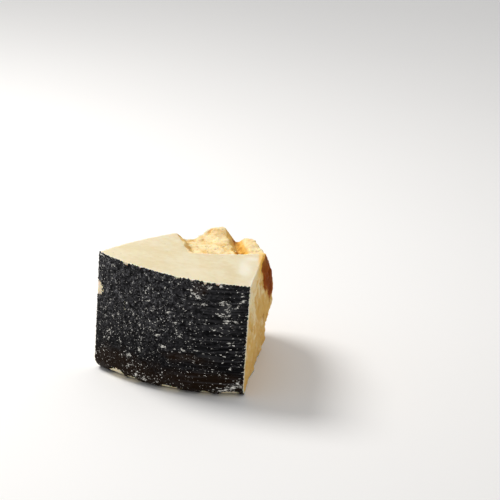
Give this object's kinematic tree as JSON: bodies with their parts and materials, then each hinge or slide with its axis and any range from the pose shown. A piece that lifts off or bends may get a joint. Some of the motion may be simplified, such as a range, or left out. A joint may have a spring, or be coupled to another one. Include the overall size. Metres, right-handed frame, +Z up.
{
  "type": "pecorino romano cheese wedge",
  "caption": "Wedge of hard sheep's cheese with a black rind on its curved side, a cut top, and a broken side and tip.",
  "frame": {"origin": "on the surface the wedge stands on, under the middle of its box", "axes": "+Z up, -Y towards the curved rind, +X towards the broken side; the picture looks along +Y, 20 degrees down"},
  "size_m": [0.1422, 0.1538, 0.1019],
  "materials": {
    "paste": "cream-coloured hard cheese paste, matt, faintly mottled, grainy and deeper yellow where broken",
    "rind": "thin black coat on the rind, pebbled, with pale worn specks and chips"
  },
  "bodies": {
    "root": {"pecorino_wedge": "paste"}
  },
  "joints": []
}
